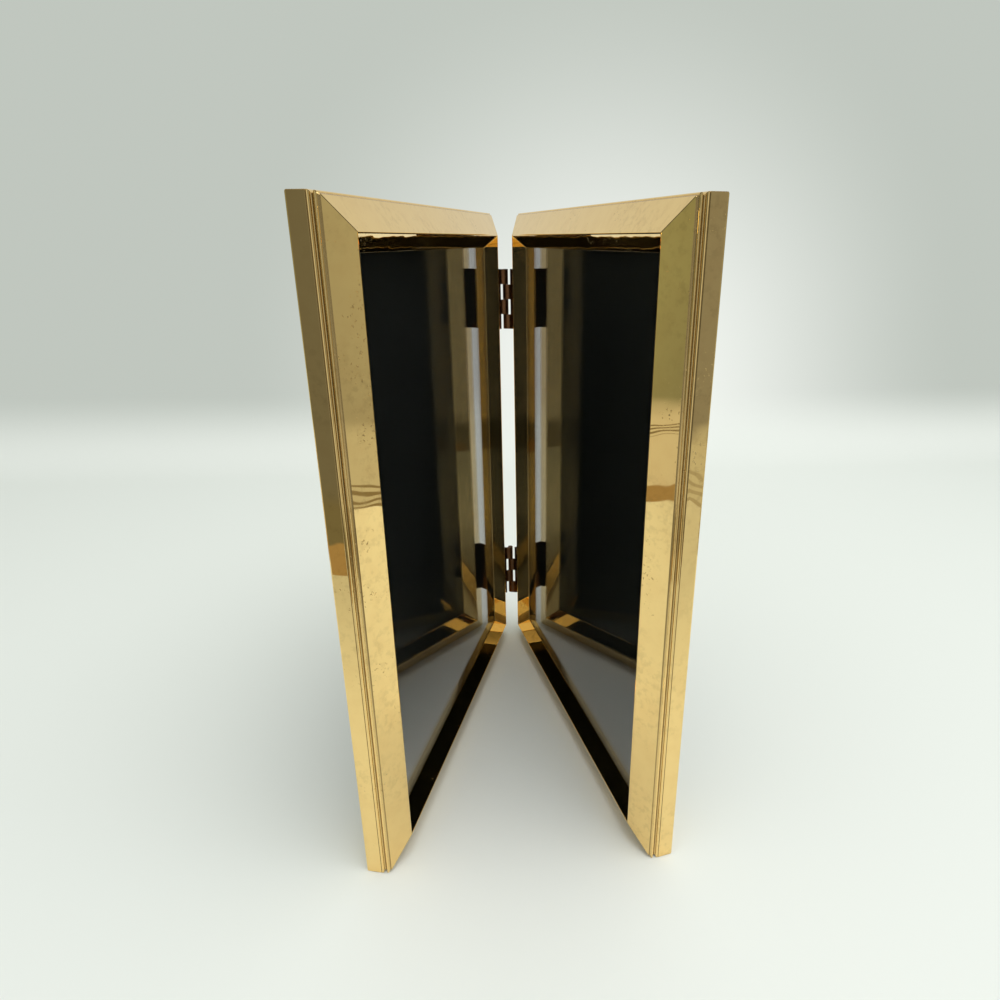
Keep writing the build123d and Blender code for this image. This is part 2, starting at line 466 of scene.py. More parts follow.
def past_the_edge(finish, across, back, front_gap, outside):
    """What lies beyond the sheet, as glossy rays see it."""
    on_left = across.between(-left_blur, 0, 1, 0)
    beyond = room_round(finish, across, back, NEAR)
    beyond = finish.mix(lines_past_edge(outside, back, on_left), beyond, edge_line)
    # Painted shadow: the brown band just past the left edge.
    beyond = finish.mix((1 - after(outside, band_width)) * on_left, beyond, edge_shadow_band)
    side_gap = abs(across) - sheet_half_width + across.math("MINIMUM", across, 0) * left_delay
    faded = across.math("MAXIMUM", side_gap, front_gap * 2).between(far_start, far_end)
    return finish.mix(faded, beyond, room_round(finish, across, back, FAR))


def backdrop_glow(finish, across, height, mirrored):
    """The wall behind: bright in the middle, and darker to the sides for glossy rays."""
    from_middle = ((across - glow_across) ** 2 + (height - glow_height) ** 2) ** 0.5
    wall = finish.mix(from_middle.between(0, glow_reach), wall_middle, wall_side)
    to_side = abs(across).between(dark_wall_start, dark_wall_end)
    shiny = finish.mix(to_side, wall_mirrored, wall_dark)
    return finish.mix(mirrored, wall, shiny)


print("the floor fades into the room from", round(far_start / mm), "to", round(far_end / mm), "mm out")

# %% The sheet's surface
bright_y = -110 * mm
dim_y = -240 * mm
edge_from_y = 60 * mm
edge_gone_y = 120 * mm
wall_fold = 3 * mm
wall_upright = 55 * mm


def finish_sheet(finish):
    """Paper on the floor, the darker room past its edge, and a glowing wall where it sweeps up."""
    spot = finish.place()
    across = finish.axis(spot, "X")
    back = finish.axis(spot, "Y")
    height = finish.axis(spot, "Z")
    mirrored = finish.node("ShaderNodeLightPath", output="Is Glossy Ray")
    seen = finish.node("ShaderNodeLightPath", output="Is Camera Ray")
    front_gap = across * sheet_front_slant - back - sheet_front
    outside = across.math("MAXIMUM", abs(across) - sheet_half_width, front_gap)
    beyond = past_the_edge(finish, across, back, front_gap, outside)
    past_edge = outside.between(0, edge_blur) * back.between(edge_from_y, edge_gone_y, 1, 0) * mirrored
    # Painted shade: the sheet is darker towards the front for glossy rays.
    shiny = finish.mix(back.between(dim_y, bright_y, 1, 0), sheet_mirrored, sheet_front_shade)
    paper = finish.mix(mirrored, finish.mix(seen, sheet_colour, sheet_seen), shiny)
    lit = finish.node("ShaderNodeBsdfDiffuse", None, {"Color": paper})
    dark = finish.node("ShaderNodeEmission", None, {"Color": beyond})
    floor = finish.node("ShaderNodeMixShader", None, {0: past_edge, 1: lit, 2: dark})
    wall = backdrop_glow(finish, across, height, mirrored)
    glow = finish.node("ShaderNodeEmission", None, {"Color": wall})
    upright = height.between(wall_fold, wall_upright)
    mixed = finish.node("ShaderNodeMixShader", None, {0: upright, 1: floor, 2: glow})
    finish.node("ShaderNodeOutputMaterial", None, {"Surface": mixed})


finish_sheet(sheet_finish)
sweep.visible_shadow = False
print("sheet finished")

# %% The room and the lamp
ceiling = (0.95, 0.94, 0.90, 1)
even_light = (0.80, 0.81, 0.79, 1)
far_wall = (0.60, 0.64, 0.58, 1)


def finish_room(finish):
    """What lies beyond the sheet: even light for matt things, a dim room for shiny ones."""
    way = finish.node("ShaderNodeTexCoord", output="Generated")
    walls = room_round(finish, finish.axis(way, "X"), finish.axis(way, "Y"), FAR)
    room = finish.mix(finish.axis(way, "Z").between(0.25, 0.75), walls, ceiling)
    glossy = finish.node("ShaderNodeLightPath", output="Is Glossy Ray")
    seen = finish.node("ShaderNodeLightPath", output="Is Camera Ray")
    colour = finish.mix(glossy, even_light, room)
    colour = finish.mix(seen, colour, far_wall)
    light = finish.node("ShaderNodeBackground", None, {"Color": colour})
    finish.node("ShaderNodeOutputWorld", None, {"Surface": light})


world = bpy.data.worlds.new("room")
world.use_nodes = True
bpy.context.scene.world = world
finish_room(Finish(world.node_tree))

lamp_size = 700 * mm
lamp_power = 5.0
lamp_place = Vector((220, -230, 950)) * mm
lamp_data = bpy.data.lights.new("softbox", "AREA")
lamp_data.shape = "SQUARE"
lamp_data.size = lamp_size
lamp_data.energy = lamp_power
lamp = bpy.data.objects.new("softbox", lamp_data)
lamp.location = lamp_place
lamp.rotation_euler = (Vector((0, 0, 0)) - lamp.location).to_track_quat("-Z", "Y").to_euler()
bpy.context.scene.collection.objects.link(lamp)
print("lamp", lamp_data.energy, "W at", [round(c / mm) for c in lamp.location], "mm")

# %% [markdown]
# ## Polished brass
#
# The frames are lacquered sheet brass, polished to a mirror. Three things keep a mirror from
# looking computed: the sheet is never quite flat, so reflections ripple; the lacquer is a
# little stained, so they dim and blur in patches; and tarnish sits in pits and in the mitres.
# Shade is also painted into the notch, cove and crease of the moulding as darker brass, in
# the tarnish colour. The ripple is a bump of a few hundredths of a millimetre on
# three scales, from a finger's width down to a few millimetres. A deeper one would tear the
# reflections apart. Hinges and turn buttons share the recipe, with a duller brass.

# %% Brass
lump_size = 22 * mm
wave_size = 12 * mm
ripple_size = 5 * mm
mottle_size = 5 * mm
stain_size = 2.2 * mm
stained_size = 30 * mm
grain_size = 0.9 * mm
pitted_size = 14 * mm
pit_depth = 0.03 * mm
# This brown is the tarnish, and also the painted shade in the moulding's hollows.
brown_tarnish_and_shade = (0.10, 0.06, 0.02, 1)
black_tarnish = (0.03, 0.015, 0.01, 1)


def brass(name, bright, dull, tarnish_and_shade, shine, ripple):
    """A brass finish. Shine is the roughness of the clean metal and ripple its relief in metres."""
    made, finish = new_material(name)
    spot = finish.place()
    lumps = finish.noise(spot, lump_size, 1.0)
    waves = finish.noise(finish.place((1, 1, 2.2)), wave_size, 0.0)
    ripples = finish.noise(spot, ripple_size, 0.0)
    mottle = finish.noise(spot, mottle_size, 3.0, 0.5)
    pitted = finish.noise(spot, pitted_size, 2.0).between(0.53, 0.68)
    pits = finish.noise(spot, grain_size, 3.0, 0.6).between(0.63, 0.70) * pitted
    stained = finish.noise(spot, stained_size, 1.0).between(0.38, 0.62)
    stains = finish.noise(spot, stain_size, 3.0, 0.6).between(0.46, 0.68) * stained
    seam = finish.node("ShaderNodeAttribute", {"attribute_name": "seam"}, output="Fac")
    colour = finish.mix(mottle.between(0.35, 0.75, 0, 0.35), bright, dull)
    colour = finish.mix(stains * 0.14 + pits * 0.3, colour, tarnish_and_shade)
    # Tarnish in the mitres, and shade painted into the moulding's hollows, both read from the vertex
    # attribute.
    colour = finish.mix(seam * 0.9, colour, tarnish_and_shade)
    rough = shine + mottle.between(0.45, 0.8) * 0.02 + stains * 0.02 + pits * 0.25 + seam * 0.35
    relief = finish.bump(lumps, ripple)
    relief = finish.bump(waves, ripple * 0.45, relief)
    relief = finish.bump(ripples, ripple * 0.25, relief)
    relief = finish.bump(pits * -1, pit_depth, relief)
    surface(finish, Base_Color=colour, Metallic=1.0, Roughness=rough, Normal=relief)
    return made


moulding_brass = brass("moulding_finish", (0.91, 0.67, 0.28, 1), (0.82, 0.57, 0.23, 1),
                       brown_tarnish_and_shade, shine=0.008, ripple=0.05 * mm)
hinge_brass = brass("hinge_finish", (0.13, 0.065, 0.03, 1), (0.06, 0.03, 0.015, 1),
                    black_tarnish, shine=0.20, ripple=0.01 * mm)
button_brass = brass("button_finish", (0.84, 0.63, 0.30, 1), (0.68, 0.48, 0.22, 1),
                     brown_tarnish_and_shade, shine=0.16, ripple=0.01 * mm)
print("brass finishes:", [material.name for material in (moulding_brass, hinge_brass, button_brass)])

# %% [markdown]
# ## The moulding
#
# Each rail is a length of thin brass sheet, folded into a closed tube: a sloping face, a
# raised ridge, a lip that holds the glass, and along the outer edge a notch, a fine bead, a
# cove, a rounded shoulder and a crease. It could be a profile curve with a bevel object, but a
# real mitre is a sawn face, and a plane that cuts the mesh gives just that. So the section is
# drawn once, drawn out along the rail and cut off at 45 degrees at both ends. The wall of the
# tube comes from an inset of the plain section, and a fill closes each sawn end.

# %% Sizes of the moulding's section
ridge_inset = 8.9 * mm
lip_depth = 4.9 * mm
slope_foot_inset = 1.0 * mm
slope_foot_depth = 4.55 * mm
notch_drop = 0.2 * mm
list_width = 0.34 * mm
list_run = 0.55 * mm
bead_width = 0.3 * mm
bead_run = 0.65 * mm
bead_crown = 0.3 * mm
cove_hollow = 0.25 * mm
shoulder_radius = 0.7 * mm
shoulder_drop = 2.3 * mm
crease_width = 0.3 * mm
crease_depth = 0.14 * mm
wall_thickness = 0.8 * mm
ridge_round = 0.35 * mm
lip_round = 0.3 * mm
back_corner_round = 0.6 * mm
shoulder_end = slope_foot_depth + shoulder_drop + shoulder_radius
glass_play = 0.25 * mm
rebate_inset = flat_box("right_glass")[0].z - glass_play
front_y = flat_box("right_glass")[0].y - lip_depth
rail_depth = rails_high.y - front_y
print("moulding", round(rail_width / mm, 2), "mm wide and", round(rail_depth / mm, 2), "mm deep")

# %% The moulding's section
def round_corner(bm, vert, reach):
    bmesh.ops.bevel(bm, geom=[vert], offset=reach, offset_type="OFFSET", segments=5, profile=0.5,
                    affect="VERTICES", clamp_overlap=False, material=-1)


def draw_outside(bm):
    """The outside of the moulding: y is the inset from the outer wall and z the depth."""
    foot = Vector((slope_foot_inset, slope_foot_depth))
    notch = foot + Vector((0, notch_drop))
    bead_inner = notch + Vector((-list_width, list_run))
    pen = Pen(bm, (rail_width, lip_depth))
    pen.line((ridge_inset, 0), foot, notch, bead_inner)
    lip, ridge = pen.drawn[:2]
    pen.bow(bead_inner + Vector((-bead_width, bead_run)), bead_crown, 10)
    pen.bow((shoulder_radius, slope_foot_depth + shoulder_drop), -cove_hollow, 10)
    pen.arc((shoulder_radius, shoulder_end), -90, 12)
    pen.line((crease_depth, shoulder_end + crease_width / 2), (0, shoulder_end + crease_width))
    pen.line((0, rail_depth), (rebate_inset, rail_depth), (rebate_inset, lip_depth))
    back_corner = pen.drawn[-3]
    pen.close()
    round_corner(bm, ridge, ridge_round)
    round_corner(bm, lip, lip_round)
    round_corner(bm, back_corner, back_corner_round)


def draw_inside(bm):
    """The inside of the folded sheet, one wall thickness in from the plain section."""
    corners = [(rail_width, lip_depth), (ridge_inset, 0), (slope_foot_inset, slope_foot_depth),
               (0, shoulder_end + shoulder_radius), (0, rail_depth), (rebate_inset, rail_depth),
               (rebate_inset, lip_depth)]
    face = bm.faces.new([bm.verts.new((0, *corner)) for corner in corners])
    bm.normal_update()
    ring = bmesh.ops.inset_individual(bm, faces=[face], thickness=wall_thickness, use_even_offset=True)
    inner = set(face.verts)
    rim = [vert for part in ring["faces"] for vert in part.verts if vert not in inner]
    bmesh.ops.delete(bm, geom=list(set(rim)), context="VERTS")
    bmesh.ops.delete(bm, geom=[face], context="FACES_ONLY")


test = bmesh.new()
draw_outside(test)
print("the outside has", len(test.verts), "points")
draw_inside(test)
print("with the inside it has", len(test.verts))
test.free()

# %% [markdown]
# The section is drawn out along the rail, well past both ends, and two planes at 45 degrees
# saw it off. What shows on the real frame is the seam: the polished edges are a hair rounded,
# so a thin groove runs across each corner, and tarnish sits at its bottom. The bevel makes the
# groove, and a vertex attribute marks how deep in it a point lies, for the finish to read. The
# same attribute marks the notch, the cove and the crease, where the finish paints shade as
# darker brass. It stays 0 at the corners of the broad faces, because it is blended along a face
# and would dull all of its mirror.

# %% The hollows where shade is painted
mitre_round = 0.18 * mm
mitre_tarnish = 0.1 * mm
overrun = 20 * mm
notch_reach = 0.19 * mm
cove_inset = 0.72 * mm
cove_drop = 1.85 * mm
cove_reach = 0.5 * mm
crease_reach = 0.16 * mm
HOLLOWS = (
    (slope_foot_inset, slope_foot_depth + notch_drop, notch_reach),
    (cove_inset, slope_foot_depth + cove_drop, cove_reach),
    (crease_depth, shoulder_end + crease_width / 2, crease_reach),
)


def from_mitre(vert, length):
    """How far a point lies from the nearer mitre plane."""
    return min(vert.co.x - vert.co.y, length - vert.co.x - vert.co.y) / math.sqrt(2)


def hollow_shade(vert):
    """Painted shade: 1 at the bottom of a notch, the cove or the crease, and 0 away from them all."""
    depths = [1 - (vert.co.yz - Vector(middle)).length / reach for *middle, reach in HOLLOWS]
    return max(0, *depths)


print("hollows:", len(HOLLOWS), "and a mitre rounded by", round(mitre_round / mm, 2), "mm")

# %% One mitred length
def mitred_length(length):
    """A hollow rail along X, Y inwards and Z to the back, sawn off at 45 degrees at both ends."""
    bm = bmesh.new()
    draw_outside(bm)
    outside = list(bm.edges)
    draw_inside(bm)
    inside = [edge for edge in bm.edges if edge not in set(outside)]
    bmesh.ops.translate(bm, verts=bm.verts, vec=(-overrun, 0, 0))
    for face in draw_along(bm, inside, length + 2 * overrun):
        face.material_index = 1
    draw_along(bm, outside, length + 2 * overrun)
    for start, keep in (((0, 0, 0), (1, -1, 0)), ((length, 0, 0), (-1, -1, 0))):
        bmesh.ops.bisect_plane(bm, geom=whole(bm), plane_co=start, plane_no=keep, clear_inner=True)
    sawn = [edge for edge in bm.edges if edge.is_boundary]
    sawn_edges = [edge for edge in sawn if edge.link_faces[0].material_index == 0]
    for near_start in (True, False):
        loops = [edge for edge in sawn if (edge.verts[0].co.x < length / 2) == near_start]
        bmesh.ops.triangle_fill(bm, edges=loops, use_beauty=True)
    bmesh.ops.recalc_face_normals(bm, faces=bm.faces)
    bmesh.ops.bevel(bm, geom=sawn_edges, offset=mitre_round, offset_type="OFFSET", segments=2,
                    profile=0.5, affect="EDGES", clamp_overlap=False, material=-1)
    seam = bm.verts.layers.float.new("seam")
    # Tarnish at the mitres, and shade painted into the notch, cove and crease.
    for vert in bm.verts:
        vert[seam] = max(1 - from_mitre(vert, length) / mitre_tarnish, hollow_shade(vert))
    for face in bm.faces:
        face.material_index = 0
    return bm


test = mitred_length(frame_height)
print("a rail has", len(test.faces), "faces and", open_edges(test), "open edges")
test.free()

# %% Eight lengths of moulding
RAILS = ("top_rail", "bottom_rail", "outer_stile", "inner_stile")
frame_right = rails_high.x


def rail_seat(rail):
    """The matrix that lays a rail in the flat frame: X along it, Y inwards and Z to the back."""
    seats = {
        "bottom_rail": ((frame_right, front_y, 0), (-1, 0, 0)),
        "top_rail": ((rails_low.x, front_y, frame_height), (1, 0, 0)),
        "outer_stile": ((frame_right, front_y, frame_height), (0, 0, -1)),
        "inner_stile": ((rails_low.x, front_y, 0), (0, 0, 1)),
    }
    origin, along = seats[rail]
    back = Vector((0, 1, 0))
    along = Vector(along)
    turned = Matrix((along, back.cross(along), back)).transposed().to_4x4()
    return Matrix.Translation(origin) @ turned


def dress(bm, node, material, body, smooth_below=30):
    """A piece that stands for a CAD node, with normals that keep its flat faces flat."""
    bmesh.ops.recalc_face_normals(bm, faces=bm.faces)
    piece = to_object(bm, "dressed_" + node, material, smooth_below)
    piece.modifiers.new("flat_faces", "WEIGHTED_NORMAL").keep_sharp = True
    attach(piece, body)
    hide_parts(node)


def rail_length(rail):
    return frame_width if rail.endswith("rail") else frame_height


for side in SIDES:
    for rail in RAILS:
        bm = mitred_length(rail_length(rail))
        bmesh.ops.transform(bm, matrix=stand(side) @ rail_seat(rail), verts=bm.verts)
        dress(bm, side + "_" + rail, moulding_brass, side + "_frame")
print("mouldings:", 2 * len(RAILS))

# %% [markdown]
# ## Glass
#
# Old picture glass is 2 mm thick, flat, and never quite clean. The pane could be one flat
# face, but a closed block with ground edges refracts as glass does. Its dust is a second, matt
# shader, mixed in by a mask of fine specks, so it shows only where a speck lies.

# %% A block with rounded edges
def block(low, high, edge_round, segments=2):
    """A block between two corners with rounded edges."""
    bm = bmesh.new()
    bmesh.ops.create_cube(bm, size=1)
    bmesh.ops.scale(bm, vec=high - low, verts=bm.verts)
    bmesh.ops.translate(bm, vec=(low + high) / 2, verts=bm.verts)
    bmesh.ops.bevel(bm, geom=list(bm.edges), offset=edge_round, offset_type="OFFSET",
                    segments=segments, profile=0.5, affect="EDGES", clamp_overlap=True, material=-1)
    return bm


print("blocks ready")

# %% Glass panes
glass_gap = 0.03 * mm
ground_edge = 0.25 * mm
cloud_size = 35 * mm
speck_size = 0.55 * mm
smear_size = 6 * mm


def finish_glass(finish):
    spot = finish.place()
    wiped = finish.place((1, 1, 0.15), 0.3)
    cloudy = finish.noise(spot, cloud_size, 2.0).between(0.45, 0.75)
    specks = finish.noise(spot, speck_size, 1.0).between(0.74, 0.80)
    smear = finish.noise(wiped, smear_size, 3.0, 0.6).between(0.55, 0.85)
    dust = specks * (cloudy * 0.5 + 0.12) + smear * cloudy * 0.006 + 0.001
    glass = finish.node("ShaderNodeBsdfPrincipled", None, {
        "Base Color": (0.93, 0.97, 0.94, 1), "Roughness": 0.0, "IOR": 1.5, "Transmission Weight": 1.0})
    powder = finish.node("ShaderNodeBsdfDiffuse", None, {"Color": (0.46, 0.45, 0.40, 1)})
    mixed = finish.node("ShaderNodeMixShader", None, {0: dust, 1: glass, 2: powder})
    finish.node("ShaderNodeOutputMaterial", None, {"Surface": mixed})


picture_glass, glass_finish = new_material("picture_glass_finish")
finish_glass(glass_finish)
for side in SIDES:
    low, high = flat_box(side + "_glass")
    inwards = Vector((0, glass_gap, 0))
    bm = block(low + inwards, high - inwards, ground_edge)
    bmesh.ops.transform(bm, matrix=stand(side), verts=bm.verts)
    dress(bm, side + "_glass", picture_glass, side + "_frame")
print("panes of", [round(size / mm, 1) for size in high - low], "mm")

# %% [markdown]
# ## Cards, boards and keys
#
# These keep the shape that they have in the frame, and only need a finish: black card with a
# faint laid texture that shows through the glass, grey filler card and pressed board behind
# it, and the steel keys that hold the mitres together.

# %% Card and board
def paper_finish(name, light, dark, weave_size, fibre_size, rough, relief):
    """Card or board: a laid texture both ways, with longer fibres lying across it."""
    made, finish = new_material(name)
    fibre = finish.noise(finish.place((1, 1, 0.12)), fibre_size, 5.0, 0.65)
    spot = finish.place(moved=(0, -hinge_axis.y, 0))
    across = (finish.axis(spot, "X") ** 2 + finish.axis(spot, "Y") ** 2) ** 0.5
    weave = across.waves(weave_size) * finish.axis(spot, "Z").waves(weave_size) * 0.5 + 0.5
    mask = weave * 0.35 + fibre * 0.65
    colour = finish.mix(mask, dark, light)
    surface(finish, Base_Color=colour, Roughness=rough, Normal=finish.bump(mask, relief))
    return made


black_card = paper_finish("black_card_finish", (0.006, 0.007, 0.0065, 1), (0.0015, 0.002, 0.002, 1),
                          weave_size=0.9 * mm, fibre_size=2 * mm, rough=0.85, relief=0.03 * mm)
grey_card = paper_finish("grey_card_finish", (0.42, 0.40, 0.36, 1), (0.26, 0.25, 0.22, 1),
                         weave_size=0.7 * mm, fibre_size=3 * mm, rough=0.9, relief=0.05 * mm)
pressed_board = paper_finish("pressed_board_finish", (0.26, 0.16, 0.09, 1), (0.13, 0.075, 0.04, 1),
                             weave_size=1.1 * mm, fibre_size=4 * mm, rough=0.7, relief=0.08 * mm)
print("card and board ready")

# %% Plated steel
drawing_size = 0.4 * mm
drawing_depth = 0.01 * mm
bloom_size = 6 * mm


def plated_steel():
    made, finish = new_material("plated_steel")
    spot = finish.place()
    drawn = finish.noise(finish.place((1, 1, 0.04)), drawing_size, 3.0)
    bloom = finish.noise(spot, bloom_size, 3.0).between(0.4, 0.7)
    colour = finish.mix(bloom, (0.62, 0.61, 0.58, 1), (0.46, 0.45, 0.42, 1))
    surface(finish, Base_Color=colour, Metallic=1.0, Roughness=bloom * 0.15 + 0.25,
            Normal=finish.bump(drawn, drawing_depth))
    return made


steel = plated_steel()
for side in SIDES:
    for node, material in (("insert_card", black_card), ("filler_card", grey_card),
                           ("back_board", pressed_board), ("corner_keys", steel)):
        frame["nodes"][side + "_" + node].material_slots[0].material = material
print("plain nodes finished")

# %% [markdown]
# ## The velvet back
#
# The back board is covered with black flock on a thin card, folded over at its edges. Velvet
# is dark where one looks straight down the pile and pale where one looks across it, which is
# what the sheen of the surface shader does. Cloudy patches make the pile look stroked.

# %% Velvet covers
stroke_size = 28 * mm
pile_size = 0.35 * mm
tuft_size = 1.6 * mm
lint_size = 1.1 * mm
pile_depth = 0.12 * mm
stroke_depth = 0.1 * mm
cover_edge = 0.2 * mm


def velvet_finish():
    made, finish = new_material("black_velvet_finish")
    spot = finish.place()
    stroked = finish.noise(finish.place((1, 1, 0.5)), stroke_size, 3.0, 0.55, 0.6).between(0.35, 0.65)
    pile = finish.noise(spot, pile_size, 2.0)
    tufts = finish.noise(spot, tuft_size, 3.0)
    lint = finish.noise(spot, lint_size, 1.0).between(0.78, 0.83)
    colour = finish.mix(stroked * 0.6 + pile * 0.4, (0.006, 0.006, 0.007, 1), (0.022, 0.022, 0.024, 1))
    colour = finish.mix(lint * 0.5, colour, (0.20, 0.20, 0.19, 1))
    relief = finish.bump(pile * 0.7 + tufts * 0.3, pile_depth)
    relief = finish.bump(stroked, stroke_depth, relief)
    surface(finish, Base_Color=colour, Roughness=0.95, Normal=relief, Sheen_Weight=0.35,
            Sheen_Roughness=0.4, Sheen_Tint=(0.75, 0.75, 0.80, 1))
    return made


velvet = velvet_finish()
for side in SIDES:
    low, high = flat_box(side + "_back_cover")
    bm = block(low, high, cover_edge, 3)
    bmesh.ops.transform(bm, matrix=stand(side), verts=bm.verts)
    dress(bm, side + "_back_cover", velvet, side + "_frame", 60)
print("velvet covers:", len(SIDES))

# %% [markdown]
# ## Turn buttons and their screws
#
# Four little teardrops of sheet brass hold each board in. A button is drawn as two arcs joined
# by their tangents, with a hole at the pivot, then filled, drawn up and bevelled. The screw is
# a profile spun round its own axis. Only its slot needs a Boolean: no bmesh operator cuts a
# groove across a domed head as simply.

# %% A turn button
button_bore = 1.05 * mm
button_round = 0.15 * mm
pivot_radius = 3.0 * mm
tip_radius = 2.0 * mm
button_reach = 6.5 * mm
button_thickness = 0.8 * mm
touching = 0.01 * mm


def round_rims(bm, reach, segments, sharper_than=50):
    """Rounds every edge where two faces meet at more than that many degrees."""
    rims = [edge for edge in bm.edges if edge.calc_face_angle(0) > math.radians(sharper_than)]
    bmesh.ops.bevel(bm, geom=rims, offset=reach, offset_type="OFFSET", segments=segments, profile=0.5,
                    affect="EDGES", clamp_overlap=True, material=-1)


def turn_button():
    """A button in the plane x = 0, with its pivot at the origin and its tip along Y."""
    lean = math.asin((pivot_radius - tip_radius) / button_reach)
    rise = Vector((math.sin(lean), math.cos(lean)))
    bm = bmesh.new()
    pen = Pen(bm, rise * pivot_radius)
    pen.line(Vector((button_reach, 0)) + rise * tip_radius)
    pen.arc((button_reach, 0), 2 * math.degrees(lean) - 180, 12)
    pen.line((rise.x * pivot_radius, -rise.y * pivot_radius))
    pen.arc((0, 0), -180 - 2 * math.degrees(lean), 18)
    bmesh.ops.remove_doubles(bm, verts=bm.verts, dist=touching)
    hole = Pen(bm, (button_bore, 0))
    hole.arc((0, 0), 360, 24)
    bmesh.ops.remove_doubles(bm, verts=bm.verts, dist=touching)
    bmesh.ops.triangle_fill(bm, edges=bm.edges, use_beauty=True)
    drawn = bmesh.ops.extrude_face_region(bm, geom=list(bm.faces), use_keep_orig=True)["geom"]
    lifted = [part for part in drawn if isinstance(part, bmesh.types.BMVert)]
    bmesh.ops.translate(bm, verts=lifted, vec=(button_thickness, 0, 0))
    bmesh.ops.recalc_face_normals(bm, faces=bm.faces)
    round_rims(bm, button_round, 3, 60)
    return bm


test = turn_button()
print("a turn button has", len(test.faces), "faces and", open_edges(test), "open edges")
test.free()

# %% A slotted screw
button_gap = 0.05 * mm
head_radius = 1.8 * mm
head_height = 0.7 * mm
rim_height = 0.32 * mm
shank_radius = 0.98 * mm
shank_inside = 2.0 * mm
slot_width = 0.5 * mm
slot_depth = 0.4 * mm
dome_rise = 0.08 * mm
screw_round = 0.06 * mm
slot_round = 0.02 * mm


def screw_mesh():
    """A dome-headed slotted screw along X, with the moulding's back at x = 0."""
    grip = button_thickness + 2 * button_gap
    bm = bmesh.new()
    pen = Pen(bm, (0, grip + head_height))
    pen.bow((head_radius, grip + rim_height), dome_rise, 8)
    pen.line((head_radius, grip), (shank_radius, grip))
    pen.line((shank_radius, -shank_inside), (0, -shank_inside))
    bmesh.ops.spin(bm, geom=list(bm.edges), cent=(0, 0, 0), axis=(0, 0, 1), angle=math.tau, steps=32,
                   use_merge=True)
    bmesh.ops.remove_doubles(bm, verts=bm.verts, dist=touching / 10)
    bmesh.ops.recalc_face_normals(bm, faces=bm.faces)
    round_rims(bm, screw_round, 2)
    screw = to_object(bm, "screw_blank", button_brass)
    slot_low = Vector((-2 * head_radius, -slot_width / 2, grip + head_height - slot_depth))
    slot_high = Vector((2 * head_radius, slot_width / 2, grip + 2 * head_height))
    cutter = to_object(block(slot_low, slot_high, slot_round, 1), "slot_cutter", button_brass)
    cut = screw.modifiers.new("slot", "BOOLEAN")
    cut.object = cutter
    cut.solver = "EXACT"
    cut.operation = "DIFFERENCE"
    made = bpy.data.meshes.new_from_object(screw.evaluated_get(bpy.context.evaluated_depsgraph_get()))
    bpy.data.objects.remove(screw)
    bpy.data.objects.remove(cutter)
    return made


screw = screw_mesh()
print("a screw has", len(screw.polygons), "faces")

# %% Buttons and screws in their places
screw_turns = {"top": 20, "bottom": 65, "outer": 110, "inner": 155}
pivot_inset = 6.2 * mm
lay_flat = Matrix(((0, 1, 0), (0, 0, 1), (1, 0, 0))).to_4x4()


def button_seat(rail):
    """The matrix of a turn button: Z out of the moulding's back and X towards the board."""
    spot = Matrix.Translation((rail_length(rail) / 2, pivot_inset, rail_depth))
    return rail_seat(rail) @ spot @ Matrix.Rotation(math.radians(90), 4, "Z")


for side in SIDES:
    screws = bmesh.new()
    for rail in RAILS:
        place = rail.split("_")[0]
        seat = stand(side) @ button_seat(rail)
        bm = turn_button()
        laid = seat @ Matrix.Translation((0, 0, button_gap)) @ lay_flat
        bmesh.ops.transform(bm, matrix=laid, verts=bm.verts)
        dress(bm, f"{side}_turn_button_{place}", button_brass, f"{side}_{place}_button")
        before = set(screws.verts)
        screws.from_mesh(screw)
        added = [vert for vert in screws.verts if vert not in before]
        turned = Matrix.Rotation(math.radians(screw_turns[place]), 4, "Z")
        bmesh.ops.transform(screws, matrix=seat @ turned, verts=added)
    dress(screws, side + "_button_screws", button_brass, side + "_frame")
print("turn buttons and screws:", 2 * len(RAILS))

# %% [markdown]
# ## The hinges
#
# A leaf is stamped from one strip: its front edge is cut into tongues, and every second tongue
# is curled round the pin. The model is made the same way. The tongue's edge face is drawn out
# to where it touches the barrel and spun round the pin until it nearly closes on itself.

# %% Parts of a hinge leaf
pin_radius = 0.5 * mm
knuckle_count = 4
knuckle_gap = 0.1 * mm
leaf_thickness = 0.7 * mm
leaf_front = 1.75 * mm
curl_gap = 14
leaf_round = 0.07 * mm
fixed_bore_clearance = 0.02 * mm
running_bore_clearance = 0.05 * mm


def leaf_plate(low_z, back_y, length):
    """The flat of a leaf: a plate against the moulding, from the tongues to its back edge."""
    bm = bmesh.new()
    bmesh.ops.create_cube(bm, size=1)
    size = Vector((leaf_thickness, back_y - leaf_front, length))
    bmesh.ops.scale(bm, vec=size, verts=bm.verts)
    middle = Vector((rails_low.x - leaf_thickness / 2, (back_y + leaf_front) / 2, low_z + length / 2))
    bmesh.ops.translate(bm, vec=middle, verts=bm.verts)
    return bm


def cut_tongues(bm, bottoms, pitch):
    """Cuts the plate across above and below each tongue, with half the gap on either side."""
    for bottom in bottoms:
        for cut in (bottom + knuckle_gap / 2, bottom + pitch - knuckle_gap / 2):
            bmesh.ops.bisect_plane(bm, geom=whole(bm), plane_co=(0, 0, cut), plane_no=(0, 0, 1))
    bm.normal_update()


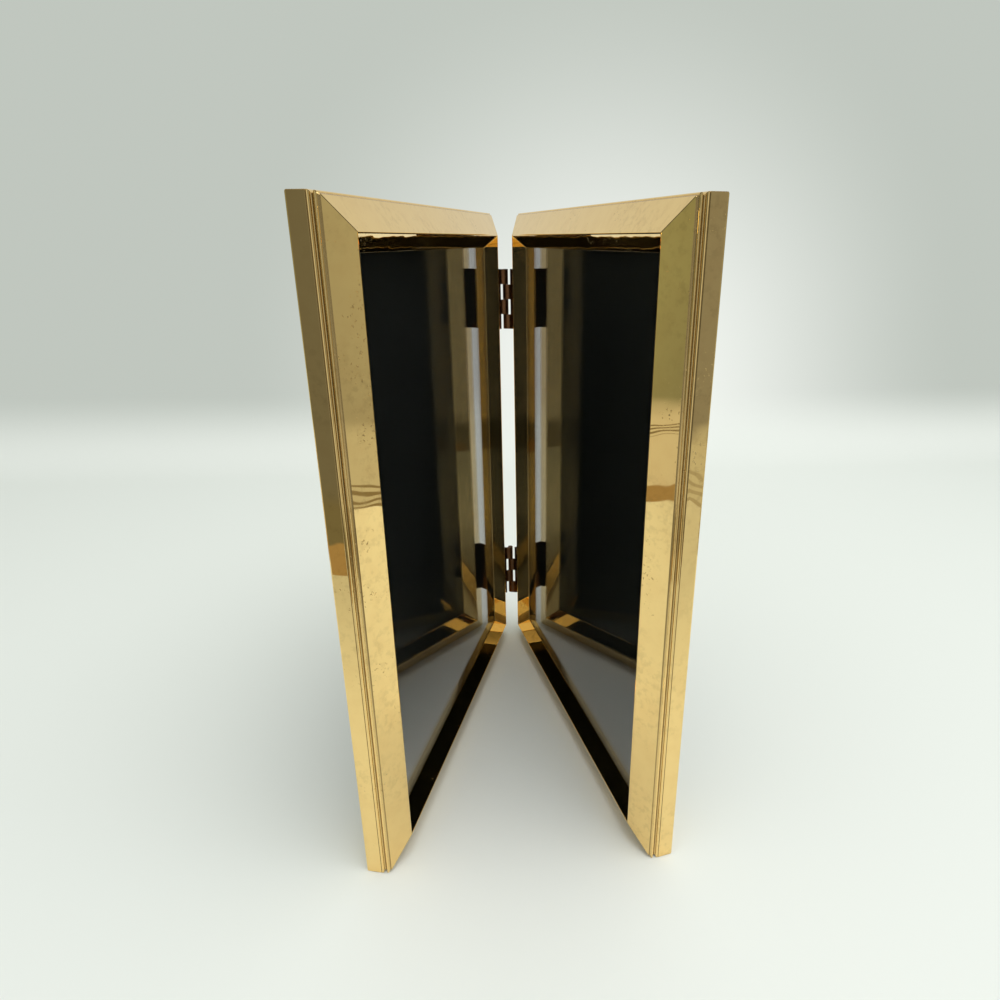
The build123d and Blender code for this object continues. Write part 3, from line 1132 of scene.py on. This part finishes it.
def curl_tongue(bm, middle_z, bore):
    """Draws a tongue's edge out to the barrel and spins it round the pin."""
    barrel = pin_radius + leaf_thickness
    corner = Vector((rails_low.x, leaf_front))
    bearing = math.atan2(corner.y, corner.x) - math.acos(barrel / corner.length)
    outward = Vector((math.cos(bearing), math.sin(bearing)))
    edge_face = next(face for face in bm.faces if face.normal.y < -0.9
                     and abs(face.calc_center_median().z - middle_z) < knuckle_gap)
    tongue = bmesh.ops.extrude_discrete_faces(bm, faces=[edge_face])["faces"][0]
    for vert in tongue.verts:
        on_outside = vert.co.x > rails_low.x - leaf_thickness / 2
        vert.co.xy = outward * (barrel if on_outside else bore)
    around = math.degrees(math.acos(bore / barrel)) + curl_gap
    bmesh.ops.spin(bm, geom=[tongue] + list(tongue.edges) + list(tongue.verts), cent=(0, 0, 0),
                   axis=(0, 0, 1), angle=-math.radians(360 - around), steps=28)


print("a leaf has", knuckle_count // 2, "of the", knuckle_count, "knuckles")

# %% The four leaves
def hinge_leaf(side, node):
    """One leaf in the flat frame, at the place of its CAD node."""
    low, high = flat_box(node)
    length = high.z - low.z
    pitch = length / knuckle_count
    clearance = fixed_bore_clearance if side == "left" else running_bore_clearance
    own = [place for place in range(knuckle_count) if (place % 2 == 1) == (side == "left")]
    bm = leaf_plate(low.z, high.y, length)
    cut_tongues(bm, [low.z + place * pitch for place in own], pitch)
    for place in own:
        curl_tongue(bm, low.z + (place + 0.5) * pitch, pin_radius + clearance)
    bmesh.ops.recalc_face_normals(bm, faces=bm.faces)
    round_rims(bm, leaf_round, 2)
    return bm


for side in SIDES:
    for place in ("upper", "lower"):
        node = f"{side}_{place}_hinge_leaf"
        bm = hinge_leaf(side, node)
        print(node, len(bm.faces), "faces,", open_edges(bm), "open edges")
        bmesh.ops.transform(bm, matrix=stand(side), verts=bm.verts)
        dress(bm, node, hinge_brass, side + "_frame")

# %% Hinge pins
pin_round = 0.25 * mm

for place in ("upper", "lower"):
    low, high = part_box(place + "_hinge_pin")
    bm = bmesh.new()
    bmesh.ops.create_cone(bm, cap_ends=True, segments=24, radius1=pin_radius, radius2=pin_radius,
                          depth=high.z - low.z)
    bmesh.ops.translate(bm, vec=(low + high) / 2, verts=bm.verts)
    round_rims(bm, pin_round, 4)
    dress(bm, place + "_hinge_pin", hinge_brass, "left_frame")
print("hinge pins: 2")
